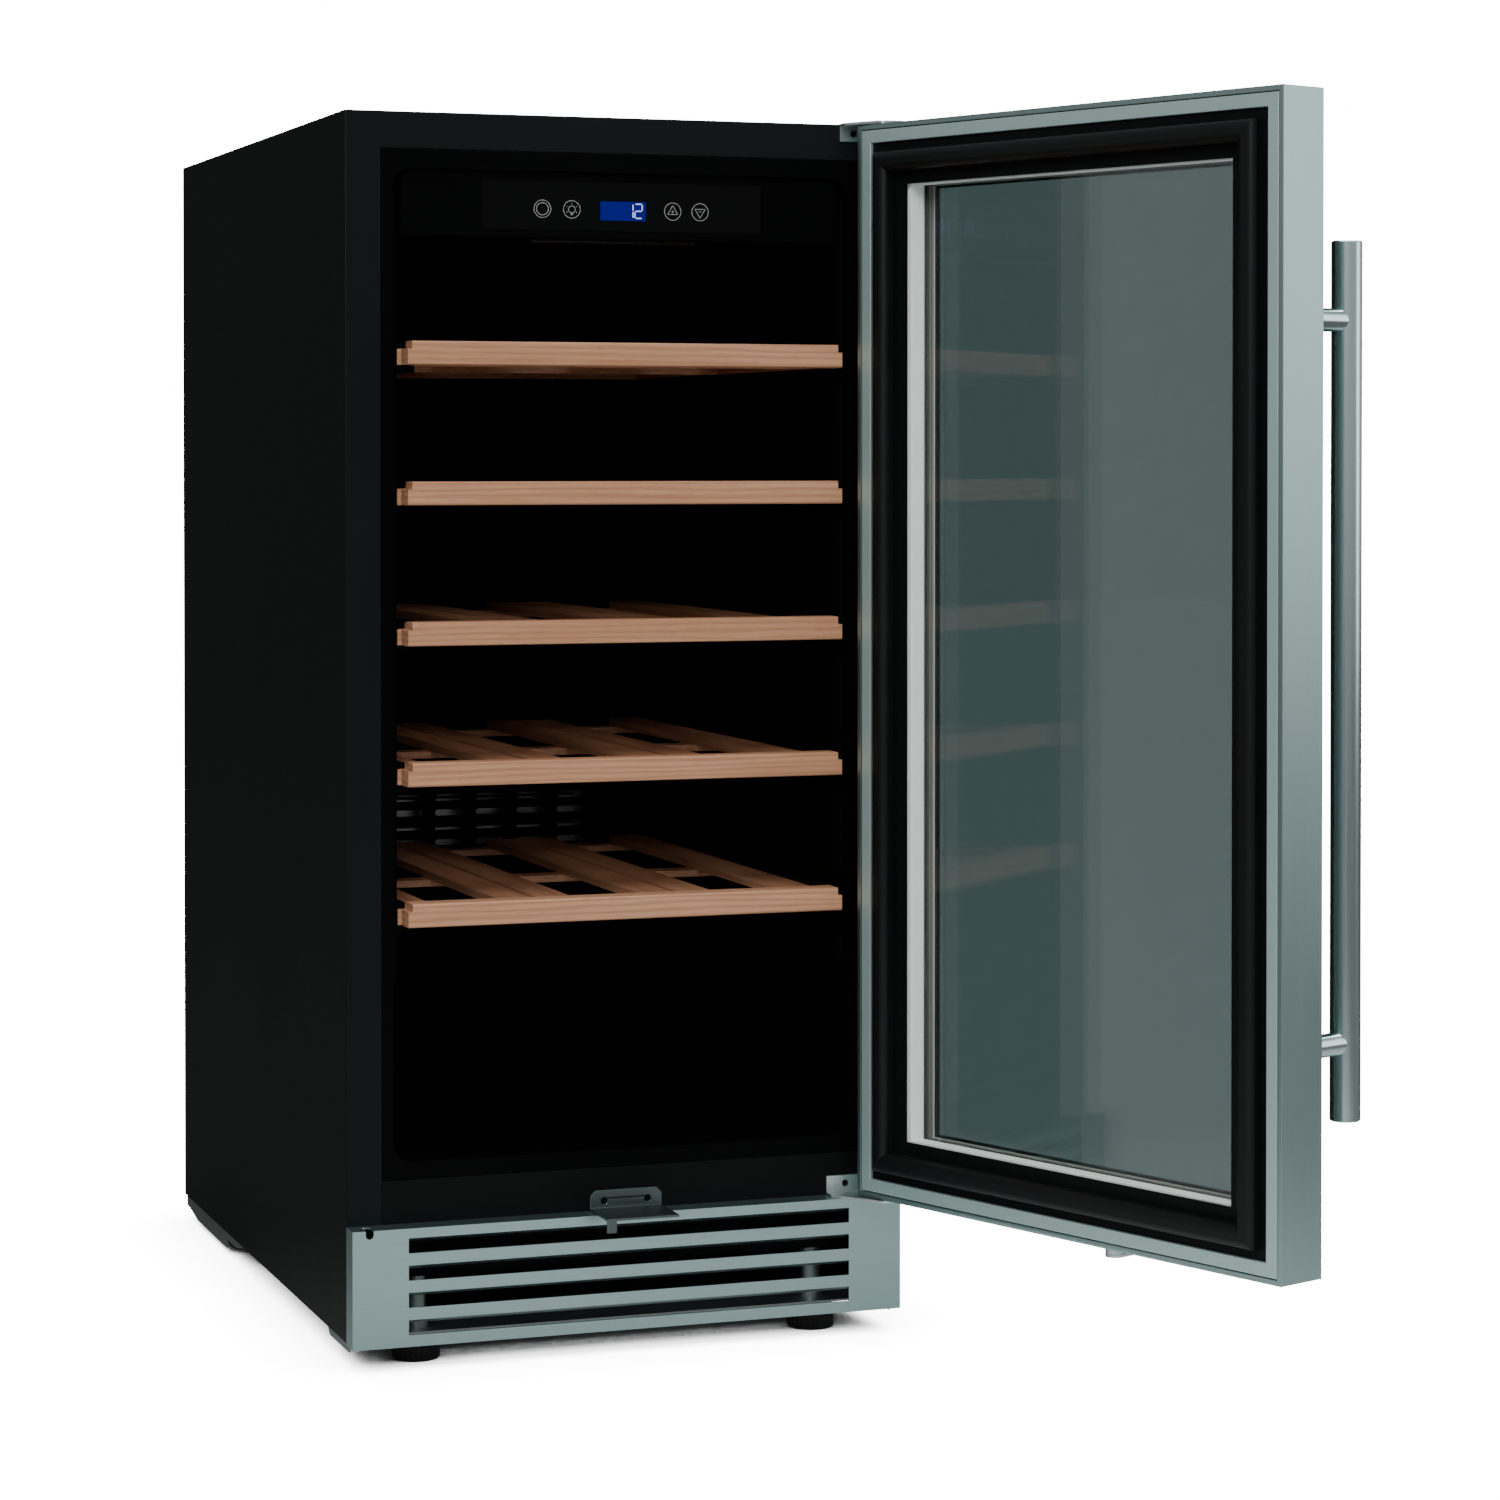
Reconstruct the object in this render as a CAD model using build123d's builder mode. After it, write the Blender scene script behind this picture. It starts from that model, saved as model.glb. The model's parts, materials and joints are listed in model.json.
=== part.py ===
"""Under-counter wine cooler, 395 mm wide, standing on four levelling feet.

Millimetres. +Z is up, +X is to the right seen from the front, the front faces -Y.
The origin is on the floor, below the middle of the cabinet. The door is saved standing open.
"""
from build123d import *
import os

os.makedirs("parts", exist_ok=True)

# ---- cabinet -----------------------------------------------------------------
WIDTH = 395.0
DEPTH = 560.0
HEIGHT = 850.0
PANEL_BOTTOM = 18.0         # lower edge of the side panels above the floor
SHEET = 1.0                 # painted steel sheet
RETURN = 24.5               # width of the shell's folded front edge
FRONT = -DEPTH / 2
BACK = DEPTH / 2
HALF = WIDTH / 2
INSIDE = HALF - SHEET - 0.1

# ---- cold chamber ------------------------------------------------------------
LINER = 2.0                 # wall of the moulded liner
HALF_CHAMBER = 164.4
FLOOR_Z = 138.0
CEILING_Z = 812.0
CHAMBER_BACK = 228.0
HUMP_Y = 50.0               # front of the hump over the machine compartment
HUMP_Z = 261.5
CORNER = 13.0               # radius of the opening's corners
FLANGE_BOTTOM = 126.3
FLANGE_GAP = 0.3            # shadow gap between the liner flange and its neighbours

# ---- machine compartment -----------------------------------------------------
BASE_TOP_Z = 97.5           # upper face of the plate below the foam
STEP_Y = 95.0               # where that plate turns up behind the hump
MACHINE_TOP_Z = 219.5
PAN_Z = 20.0
PAN_SHEET = 1.5
PAN_INSET = 2.75            # the pan's sides inside the cabinet's outer width
PAN_FLANGE_Z = 55.0
MACHINE_FAN_X = -112.0      # the condenser fan's front frame
MACHINE_FAN_Y = 185.0
MACHINE_FAN_Z = 128.0
MACHINE_FAN_SIZE = 120.0
MACHINE_FAN_DEPTH = 30.0
MACHINE_FAN_BOTTOM_Z = MACHINE_FAN_Z - MACHINE_FAN_SIZE / 2
FAN_BRACKET_HALF = 42.5

# ---- shelves -----------------------------------------------------------------
SHELF_COUNT = 5
SHELF_TOP_Z = 694.9         # top of the highest front strip
SHELF_PITCH = 95.2
STRIP_HALF = 156.5
STRIP_HEIGHT = 16.0
STRIP_DEPTH = 18.0
STRIP_PROUD = 10.0          # how far the strips stand in front of the cabinet
NOTCH_WIDTH = 3.0
NOTCH_HEIGHT = 5.4
SLAT_TOP = 5.0              # slats lie this far below the strip's top
SLAT_THICK = 6.0
RUNNER = (146.0, 158.8)     # reach of the side runners from the middle
SHELF_BACK = 170.0

# ---- racks on the chamber walls ----------------------------------------------
RACK_HALF = 159.6           # the racks' inner faces
RACK_BOTTOM_Z = 262.0
RACK_TOP_Z = 798.0
RACK_FRONT = FRONT + 10.0
RACK_BACK = 186.0
RIB_CLEARANCE = 0.4

# ---- door --------------------------------------------------------------------
DOOR_BOTTOM_Z = 98.8
DOOR_TOP_Z = 848.0
DOOR_THICK = 38.0
DOOR_GAP = 8.0              # closed gap between the cabinet and the door's lip
DOOR_SHEET = 1.2
FACE_WIDTH = 48.0           # width of the steel face round the glass
HINGE_INSET = 12.7          # hinge axis from the door's edge
HINGE_DEPTH = 16.9          # hinge axis behind the door's lip
OPEN_ANGLE = 110.88
DOOR_HEIGHT = DOOR_TOP_Z - DOOR_BOTTOM_Z
DOOR_MID_Z = (DOOR_TOP_Z + DOOR_BOTTOM_Z) / 2
LIP_PLANE = DOOR_GAP - FRONT        # distance of the door's lip plane along -Y
HINGE_X = HALF - HINGE_INSET
HINGE_Y = -(LIP_PLANE + HINGE_DEPTH)
PIN_R = 4.0
PIN_CLEARANCE = 0.05

# ---- handle ------------------------------------------------------------------
HANDLE_R = 10.0
HANDLE_INSET = 21.0
HANDLE_STANDOFF = 46.0      # bar centre in front of the door's face
HANDLE_BOTTOM_Z = 191.0
HANDLE_TOP_Z = 754.5
POST_R = 7.5
POST_ZS = (241.0, 703.5)

# ---- lock --------------------------------------------------------------------
LOCK_X = -34.0              # beside the bracket, so that the door closes past it
LOCK_DEPTH = 20.0           # lock axis behind the door's lip
BARREL_R = 6.35
BARREL_BOTTOM_Z = 92.0
CAM_WIDTH = 12.7
CAM_REACH = 11.5            # from the lock's axis to the cam's tip
CAM_THICK = 2.0
PLUG_R = 4.0

# ---- toe grille --------------------------------------------------------------
GRILLE_BOTTOM_Z = 16.5
GRILLE_TOP_Z = 96.5
GRILLE_PROUD = 18.0
GRILLE_SHEET = 1.2
SLOT_HALF = 158.7
SLOT_HEIGHT = 10.2
SLOT_FIRST_Z = 24.4
SLOT_PITCH = 18.43
SLOT_COUNT = 4

# ---- feet --------------------------------------------------------------------
FOOT_X = 144.0
FOOT_YS = {"front": FRONT + 21.0, "rear": BACK - 45.0}
PAD_R = 16.5
PAD_HEIGHT = 15.5
STUD_R = 5.0
STUD_CLEARANCE = 0.1
STUD_TOP_Z = 62.0

HINGE_AXIS = Axis((HINGE_X, HINGE_Y, 0), (0, 0, 1))


def save(builder, name, opened=False):
    """Label a finished piece and write it, turned with the open door where it belongs to it."""
    piece = builder.part.rotate(HINGE_AXIS, OPEN_ANGLE) if opened else builder.part
    piece.label = name
    export_step(piece, f"parts/{name}.step")


def block(x0, x1, y0, y1, z0, z1, mode=Mode.ADD):
    """A box between two corners, added to the part being built."""
    with Locations(((x0 + x1) / 2, (y0 + y1) / 2, (z0 + z1) / 2)):
        Box(x1 - x0, y1 - y0, z1 - z0, mode=mode)


def rod(centre, radius, length, direction, mode=Mode.ADD):
    """A cylinder about its own middle, along X, Y or Z."""
    turn = {"X": (0, 90, 0), "Y": (90, 0, 0), "Z": (0, 0, 0)}[direction]
    with Locations(centre):
        Cylinder(radius, length, rotation=turn, mode=mode)


def door_ring(outer, inner, start, end, ease=0.0):
    """A rectangular ring of the closed door, between two insets from its edge and two depths."""
    with BuildSketch(Plane.XZ.offset(LIP_PLANE + start)) as outline:
        with Locations((0, DOOR_MID_Z)):
            Rectangle(WIDTH - 2 * outer, DOOR_HEIGHT - 2 * outer)
            Rectangle(WIDTH - 2 * inner, DOOR_HEIGHT - 2 * inner + 2 * ease, mode=Mode.SUBTRACT)
    extrude(outline.sketch, amount=end - start)


def door_panel(inset, start, end):
    """A full rectangular pane of the closed door."""
    with BuildSketch(Plane.XZ.offset(LIP_PLANE + start)) as outline:
        with Locations((0, DOOR_MID_Z)):
            Rectangle(WIDTH - 2 * inset, DOOR_HEIGHT - 2 * inset)
    extrude(outline.sketch, amount=end - start)


def depth_y(depth):
    """Y of a depth behind the closed door's lip plane."""
    return -(LIP_PLANE + depth)


# ==== casing ==================================================================
with BuildPart() as outer_shell:
    block(-HALF, -HALF + SHEET, FRONT, BACK, PANEL_BOTTOM, HEIGHT)
    block(HALF - SHEET, HALF, FRONT, BACK, PANEL_BOTTOM, HEIGHT)
    block(-HALF, HALF, FRONT, BACK, HEIGHT - SHEET, HEIGHT)
    block(-HALF, -HALF + RETURN, FRONT, FRONT + SHEET, PANEL_BOTTOM, HEIGHT)
    block(HALF - RETURN, HALF, FRONT, FRONT + SHEET, PANEL_BOTTOM, HEIGHT)
    block(-HALF, HALF, FRONT, FRONT + SHEET, HEIGHT - RETURN, HEIGHT)
    front_edges = outer_shell.edges().filter_by(Axis.Z).group_by(Axis.Y)[0]
    fillet([e for e in front_edges if abs(e.center().X) > HALF - 0.1], radius=0.8)
save(outer_shell, "outer_shell")

BEAD_XS = (-105.0, 0.0, 105.0)
with BuildPart() as back_panel:
    block(-INSIDE, INSIDE, BACK - SHEET, BACK, MACHINE_TOP_Z + 0.1, HEIGHT - SHEET - 0.1)
    for bead_x in BEAD_XS:
        block(bead_x - 9, bead_x + 9, BACK - SHEET, BACK + 1.5, 300, 780)
save(back_panel, "back_panel")

with BuildPart() as front_rail:
    rail_half = HALF - RETURN - FLANGE_GAP
    block(-rail_half, rail_half, FRONT, FRONT + 1.5, 60, FLANGE_BOTTOM - FLANGE_GAP)
    block(-rail_half, rail_half, FRONT, FRONT + 12, 60, 61.5)
save(front_rail, "front_rail")

with BuildPart() as bottom_plate:
    with BuildSketch(Plane.YZ.offset(-INSIDE)):
        Polygon(
            (FRONT + 3, BASE_TOP_Z - SHEET),
            (STEP_Y, BASE_TOP_Z - SHEET),
            (STEP_Y, MACHINE_TOP_Z - SHEET),
            (BACK - 1.6, MACHINE_TOP_Z - SHEET),
            (BACK - 1.6, MACHINE_TOP_Z),
            (STEP_Y - SHEET, MACHINE_TOP_Z),
            (STEP_Y - SHEET, BASE_TOP_Z),
            (FRONT + 3, BASE_TOP_Z),
            align=None,
        )
    extrude(amount=2 * INSIDE)
save(bottom_plate, "bottom_plate")


def tub(grow):
    """The chamber's hollow with the hump at its lower back, grown by a wall thickness."""
    with BuildSketch(Plane.XZ.offset(-FRONT)) as outline:
        with Locations((0, (FLOOR_Z + CEILING_Z) / 2)):
            Rectangle(2 * (HALF_CHAMBER + grow), CEILING_Z - FLOOR_Z + 2 * grow)
        fillet(outline.vertices(), radius=CORNER + grow)
    extrude(outline.sketch, amount=-(CHAMBER_BACK - FRONT + grow))
    block(-HALF, HALF, HUMP_Y + grow, BACK, FLOOR_Z - 20, HUMP_Z - grow, mode=Mode.SUBTRACT)


with BuildPart() as hollow:
    tub(0)
with BuildPart() as wrapped:
    tub(LINER)

with BuildPart() as inner_liner:
    add(wrapped.part)
    flange_half = HALF - RETURN - FLANGE_GAP
    block(-flange_half, flange_half, FRONT, FRONT + LINER,
          FLANGE_BOTTOM, HEIGHT - RETURN - FLANGE_GAP)
    add(hollow.part, mode=Mode.SUBTRACT)
save(inner_liner, "inner_liner")

with BuildPart() as foam_insulation:
    block(-INSIDE, INSIDE, FRONT + LINER + 0.1, BACK - SHEET - 0.1,
          BASE_TOP_Z + 0.1, HEIGHT - SHEET - 0.1)
    block(-HALF, HALF, STEP_Y - SHEET - 0.1, BACK, 0, MACHINE_TOP_Z + 0.1, mode=Mode.SUBTRACT)
    add(wrapped.part, mode=Mode.SUBTRACT)
save(foam_insulation, "foam_insulation")

# ==== base ====================================================================
NUT_R = 9.0
NUT_HEIGHT = 10.0
SLEEVE_R = 7.0              # the front studs turn in tall sleeves behind the grille
SLEEVE_TOP_Z = 92.0
with BuildPart() as base_pan:
    pan_half = HALF - PAN_INSET
    pan_y = (FRONT + 2.5, BACK - 3)
    block(-pan_half, pan_half, *pan_y, PAN_Z, PAN_Z + PAN_SHEET)
    for side in (-1, 1):
        edges = sorted((side * pan_half, side * (pan_half - PAN_SHEET)))
        block(*edges, *pan_y, PAN_Z, PAN_FLANGE_Z)
    # a bent bracket that carries the condenser's fan
    shelf_y = (MACHINE_FAN_Y - FAN_BRACKET_HALF, MACHINE_FAN_Y + FAN_BRACKET_HALF)
    leg_x = MACHINE_FAN_X - MACHINE_FAN_DEPTH
    block(leg_x, leg_x + PAN_SHEET, *shelf_y, PAN_Z, MACHINE_FAN_BOTTOM_Z)
    block(leg_x, MACHINE_FAN_X, *shelf_y, MACHINE_FAN_BOTTOM_Z - PAN_SHEET, MACHINE_FAN_BOTTOM_Z)
    for foot_x in (-FOOT_X, FOOT_X):
        for foot_y in FOOT_YS.values():
            rod((foot_x, foot_y, PAN_Z + PAN_SHEET + NUT_HEIGHT / 2), NUT_R, NUT_HEIGHT, "Z")
        rod((foot_x, FOOT_YS["front"], (PAN_Z + SLEEVE_TOP_Z) / 2), SLEEVE_R,
            SLEEVE_TOP_Z - PAN_Z, "Z")
        for foot_y in FOOT_YS.values():
            rod((foot_x, foot_y, (PAN_Z + SLEEVE_TOP_Z) / 2), STUD_R + STUD_CLEARANCE,
                SLEEVE_TOP_Z - PAN_Z + 2, "Z", mode=Mode.SUBTRACT)
save(base_pan, "base_pan")

# The rails' lower edge drops below the side panels at the front and towards the back.
RAIL_TAB_Z = 4.5
with BuildPart() as base_rails:
    for side in (-1, 1):
        with BuildSketch(Plane.YZ.offset(side * (HALF - 2.0) - 0.75)):
            with BuildLine():
                Polyline(
                    (FRONT + 2, 45), (FRONT + 2, 17), (FRONT - 2, 17), (FRONT - 2, 12),
                    (FRONT + 55, 12), (FRONT + 62, 19), (FRONT + 324, 19), (FRONT + 364, 11.5),
                    (FRONT + 402, 11.5), (FRONT + 402, RAIL_TAB_Z), (FRONT + 514, RAIL_TAB_Z),
                    (FRONT + 547, 9), (BACK - 3, 9), (BACK - 3, 45), close=True,
                )
            make_face()
        extrude(amount=1.5)
save(base_rails, "base_rails")


def foot(name, x, y):
    """A levelling foot: a ribbed pad moulded on a threaded stud."""
    with BuildPart() as piece:
        with Locations((x, y, PAD_HEIGHT / 2)):
            Cylinder(PAD_R, PAD_HEIGHT)
        chamfer(piece.edges().filter_by(GeomType.CIRCLE).sort_by(Axis.Z)[0], length=1.5)
        with BuildSketch(Plane.XY.offset(2.5)):
            with Locations((x, y)):
                with PolarLocations(PAD_R + 0.5, 24):
                    Circle(1.1)
        extrude(amount=PAD_HEIGHT - 5, mode=Mode.SUBTRACT)
        with Locations((x, y, (PAD_HEIGHT + PAN_Z - 0.4) / 2)):
            Cylinder(9, PAN_Z - 0.4 - PAD_HEIGHT)
        with Locations((x, y, (PAD_HEIGHT + STUD_TOP_Z) / 2)):
            Cylinder(STUD_R, STUD_TOP_Z - PAD_HEIGHT)
    save(piece, name)


for row, foot_y in FOOT_YS.items():
    for hand, foot_x in (("left", -FOOT_X), ("right", FOOT_X)):
        foot(f"foot_{row}_{hand}", foot_x, foot_y)

# ==== toe grille ==============================================================
with BuildPart() as toe_grille:
    grille_front = FRONT - GRILLE_PROUD
    block(-HALF, HALF, grille_front, grille_front + GRILLE_SHEET, GRILLE_BOTTOM_Z, GRILLE_TOP_Z)
    block(-HALF, HALF, grille_front, FRONT, GRILLE_TOP_Z - GRILLE_SHEET, GRILLE_TOP_Z)
    for side in (-1, 1):
        edges = sorted((side * HALF, side * (HALF - GRILLE_SHEET)))
        block(*edges, grille_front, FRONT, GRILLE_BOTTOM_Z, GRILLE_TOP_Z)
    for row in range(SLOT_COUNT):
        low = SLOT_FIRST_Z + row * SLOT_PITCH
        high = low + SLOT_HEIGHT
        block(-SLOT_HALF, SLOT_HALF, grille_front - 1, grille_front + GRILLE_SHEET + 1,
              low, high, mode=Mode.SUBTRACT)
        # the tongue pressed inwards from the slot's upper edge
        with BuildSketch(Plane.YZ.offset(-SLOT_HALF)):
            Polygon(
                (grille_front, high + 0.01), (grille_front + 5.5, high - 2.8),
                (grille_front + 5.5, high - 1.6), (grille_front + GRILLE_SHEET, high + 0.8),
                align=None,
            )
        extrude(amount=2 * SLOT_HALF)
    for side in (-1, 1):
        notch_x = side * (HALF - 11.8)
        block(notch_x - 2.7, notch_x + 2.7, grille_front - 1, FRONT - 5,
              GRILLE_TOP_Z - 3, GRILLE_TOP_Z + 1, mode=Mode.SUBTRACT)
        rod((notch_x, grille_front, GRILLE_TOP_Z - 3), 2.7, 6, "Y", mode=Mode.SUBTRACT)
save(toe_grille, "toe_grille")

# ==== chamber fittings ========================================================
def shelf_top(index):
    """Height of one shelf's top, counted down from the highest."""
    return SHELF_TOP_Z - index * SHELF_PITCH


with BuildPart() as shelf_racks:
    for side in (-1, 1):
        panel = sorted((side * RACK_HALF, side * HALF_CHAMBER))
        block(*panel, RACK_FRONT, RACK_BACK, RACK_BOTTOM_Z, RACK_TOP_Z)
        for index in range(SHELF_COUNT):
            low = shelf_top(index) - STRIP_HEIGHT - RIB_CLEARANCE
            high = shelf_top(index) - SLAT_TOP + RIB_CLEARANCE
            block(*sorted((side * 147, side * RACK_HALF)), RACK_FRONT, RACK_BACK - 4, low - 5, low)
            block(*sorted((side * 154, side * RACK_HALF)), RACK_FRONT, RACK_BACK - 4, high, high + 4)
save(shelf_racks, "shelf_racks")

CONTROL_BOTTOM_Z = 767.0
CONTROL_TOP_Z = CEILING_Z - 0.2
CONTROL_HALF = 158.0
CONTROL_FACE_Y = FRONT + 4.0
CONTROL_BACK_Y = FRONT + 62.0
WINDOW_HALF = 101.0
WINDOW_LOW = 772.0
WINDOW_HIGH = 806.0
DISPLAY_HALF = 16.5
DISPLAY_LOW = 779.4
DISPLAY_HIGH = 792.6
KEY_XS = (-58.0, -37.0, 36.0, 56.0)
WALL = 2.2
with BuildPart() as control_panel:
    with BuildSketch(Plane.XZ.offset(-CONTROL_FACE_Y)) as panel_outline:
        with Locations((0, (CONTROL_BOTTOM_Z + CONTROL_TOP_Z) / 2)):
            Rectangle(2 * CONTROL_HALF, CONTROL_TOP_Z - CONTROL_BOTTOM_Z)
        fillet(panel_outline.vertices().group_by(Axis.Y)[-1], radius=CORNER)
    extrude(amount=-(CONTROL_BACK_Y - CONTROL_FACE_Y))
    block(-CONTROL_HALF + 14, CONTROL_HALF - 14, CONTROL_FACE_Y + WALL, CONTROL_BACK_Y + 1,
          CONTROL_BOTTOM_Z + WALL, CONTROL_TOP_Z - WALL, mode=Mode.SUBTRACT)
    block(-WINDOW_HALF, WINDOW_HALF, CONTROL_FACE_Y - 1, CONTROL_FACE_Y + WALL + 1,
          WINDOW_LOW, WINDOW_HIGH, mode=Mode.SUBTRACT)
save(control_panel, "control_panel")

with BuildPart() as touch_window:
    block(-WINDOW_HALF + 0.2, WINDOW_HALF - 0.2, CONTROL_FACE_Y, CONTROL_FACE_Y + WALL,
          WINDOW_LOW + 0.2, WINDOW_HIGH - 0.2)
    block(-DISPLAY_HALF, DISPLAY_HALF, CONTROL_FACE_Y - 1, CONTROL_FACE_Y + 5,
          DISPLAY_LOW, DISPLAY_HIGH, mode=Mode.SUBTRACT)
save(touch_window, "touch_window")

with BuildPart() as display:
    block(-DISPLAY_HALF + 0.1, DISPLAY_HALF - 0.1, CONTROL_FACE_Y + 0.1, CONTROL_FACE_Y + 6,
          DISPLAY_LOW + 0.1, DISPLAY_HIGH - 0.1)
save(display, "display")

with BuildPart() as control_board:
    block(-95, 95, CONTROL_FACE_Y + 6.1, CONTROL_FACE_Y + 7.7, 774, 804)
    for key_x in KEY_XS:
        block(key_x - 6, key_x + 6, CONTROL_FACE_Y + 2.4, CONTROL_FACE_Y + 6.1, 781, 793)
save(control_board, "control_board")

with BuildPart() as lamp_cover:
    block(-60, 60, FRONT + 24, FRONT + 52, CONTROL_BOTTOM_Z - 2.5, CONTROL_BOTTOM_Z)
    fillet(lamp_cover.faces().sort_by(Axis.Z)[0].edges(), radius=1.5)
save(lamp_cover, "lamp_cover")

DUCT_Y = 188.0
DUCT_SHEET = 2.0
CHAMBER_FAN_Y = 216.0       # the fan's back frame
CHAMBER_FAN_Z = 660.0
CHAMBER_FAN_SIZE = 92.0
CHAMBER_FAN_DEPTH = 25.0
RETURN_GRILLE_Z = 330.0     # slots that let the chamber's air back to the evaporator
with BuildPart() as duct_cover:
    block(-HALF_CHAMBER + 1, HALF_CHAMBER - 1, DUCT_Y, DUCT_Y + DUCT_SHEET,
          HUMP_Z + 0.2, CEILING_Z - CORNER)
    with BuildSketch(Plane.XZ.offset(-DUCT_Y + 1)):
        with Locations((0, CHAMBER_FAN_Z)):
            for ring_r in (12, 20, 28, 36):
                with PolarLocations(ring_r, 2 * int(ring_r / 4)):
                    SlotOverall(7, 3.2, rotation=90)
        with Locations((0, RETURN_GRILLE_Z)):
            with GridLocations(34, 12, 7, 5):
                SlotOverall(24, 5)
    extrude(amount=-6, mode=Mode.SUBTRACT)
save(duct_cover, "duct_cover")

# ---- evaporator: a plate with a tube that winds across it ---------------------
EVAPORATOR_Y = 212.0
EVAPORATOR_HALF = 125.0
EVAPORATOR_Z = (300.0, 560.0)
EVAPORATOR_TUBE_R = 4.0
EVAPORATOR_RUNS = 9
EVAPORATOR_PITCH = 28.0
TUBE_SINK = 0.4             # how deep the tube is bonded into the plate
with BuildPart() as evaporator:
    block(-EVAPORATOR_HALF, EVAPORATOR_HALF, EVAPORATOR_Y, EVAPORATOR_Y + 2, *EVAPORATOR_Z)
    tube_y = EVAPORATOR_Y - EVAPORATOR_TUBE_R + TUBE_SINK
    tube_half = EVAPORATOR_HALF - 15
    for row in range(EVAPORATOR_RUNS):
        run_z = EVAPORATOR_Z[0] + 15 + row * EVAPORATOR_PITCH
        rod((0, tube_y, run_z), EVAPORATOR_TUBE_R, 2 * tube_half, "X")
        if row:
            side = -1 if row % 2 else 1
            rod((side * tube_half, tube_y, run_z - EVAPORATOR_PITCH / 2),
                EVAPORATOR_TUBE_R, EVAPORATOR_PITCH, "Z")
save(evaporator, "evaporator")


def fan(plane, size, depth, blades, prefix):
    """A square axial fan: a frame that carries the motor on four arms, and its bladed rotor."""
    bore = size / 2 - 3
    hub = size * 0.19
    boss = depth * 0.35
    shaft = 2.0
    with BuildPart() as frame:
        with BuildSketch(plane):
            RectangleRounded(size, size, 5)
            Circle(bore, mode=Mode.SUBTRACT)
            with GridLocations(size - 9, size - 9, 2, 2):
                Circle(2, mode=Mode.SUBTRACT)
        extrude(amount=depth)
        with BuildSketch(plane):
            Circle(hub)
            with PolarLocations(0, 2):
                Rectangle(2 * bore + 2, 4)
                Rectangle(4, 2 * bore + 2)
        extrude(amount=boss)
        with BuildSketch(plane.offset(boss - 7)):
            Circle(shaft + PIN_CLEARANCE)
        extrude(amount=8, mode=Mode.SUBTRACT)
    save(frame, f"{prefix}_frame")
    with BuildPart() as rotor:
        with BuildSketch(plane.offset(boss + 0.6)):
            Circle(hub)
        extrude(amount=depth - boss - 2)
        with BuildSketch(plane.offset(boss - 6)):
            Circle(shaft)
        extrude(amount=8)
        reach = bore - 2.5 - hub
        middle = boss + 0.6 + (depth - boss - 2) / 2
        for index in range(blades):
            turn = Location((0, 0, 0), (0, 0, index * 360 / blades))
            tilt = Location((hub + reach / 2 - 1, 0, middle), (32, 0, 0))
            blade = Box(reach + 2, size * 0.2, 1.4, mode=Mode.PRIVATE)
            add(blade.moved(plane.location * turn * tilt))
    save(rotor, f"{prefix}_rotor")


FAN_BLADES = 7
CHAMBER_FAN_PLANE = Plane(origin=(0, CHAMBER_FAN_Y, CHAMBER_FAN_Z),
                          x_dir=(1, 0, 0), z_dir=(0, -1, 0))
fan(CHAMBER_FAN_PLANE, CHAMBER_FAN_SIZE, CHAMBER_FAN_DEPTH, FAN_BLADES, "evaporator_fan")

# ==== machine compartment =====================================================
CONDENSER_X = (-184.0, -146.0)
CONDENSER_Z = (64.0, 199.0)
FIN_COUNT = 20
FIN_START_Y = 112.0
FIN_PITCH = 7.6
FIN_THICK = 0.8
STANDING_FINS = (0, 11)     # these two reach down to the base pan
TUBE_ROWS = 5
TUBE_ROW_Z = 80.0           # lowest row of the condenser's tubes
TUBE_PITCH = 26.0
TUBE_R = 4.0
MACHINE_FAN_PLANE = Plane(origin=(MACHINE_FAN_X, MACHINE_FAN_Y, MACHINE_FAN_Z),
                          x_dir=(0, 1, 0), z_dir=(-1, 0, 0))
fan(MACHINE_FAN_PLANE, MACHINE_FAN_SIZE, MACHINE_FAN_DEPTH, FAN_BLADES, "condenser_fan")

with BuildPart() as condenser:
    for index in range(FIN_COUNT):
        fin_y = FIN_START_Y + index * FIN_PITCH
        fin_low = PAN_Z + PAN_SHEET if index in STANDING_FINS else CONDENSER_Z[0]
        block(*CONDENSER_X, fin_y, fin_y + FIN_THICK, fin_low, CONDENSER_Z[1])
    for tube_x in (CONDENSER_X[0] + 10, CONDENSER_X[1] - 10):
        for row in range(TUBE_ROWS):
            run_z = TUBE_ROW_Z + row * TUBE_PITCH
            rod((tube_x, 186, run_z), TUBE_R, 168, "Y")
            if row:
                end_y = 106.5 if row % 2 else 265.5
                rod((tube_x, end_y, run_z - TUBE_PITCH / 2), TUBE_R - 0.4, TUBE_PITCH, "Z")
    rod((sum(CONDENSER_X) / 2, 256, TUBE_ROW_Z + (TUBE_ROWS - 1) * TUBE_PITCH), 3, 18, "X")
save(condenser, "condenser")

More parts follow.
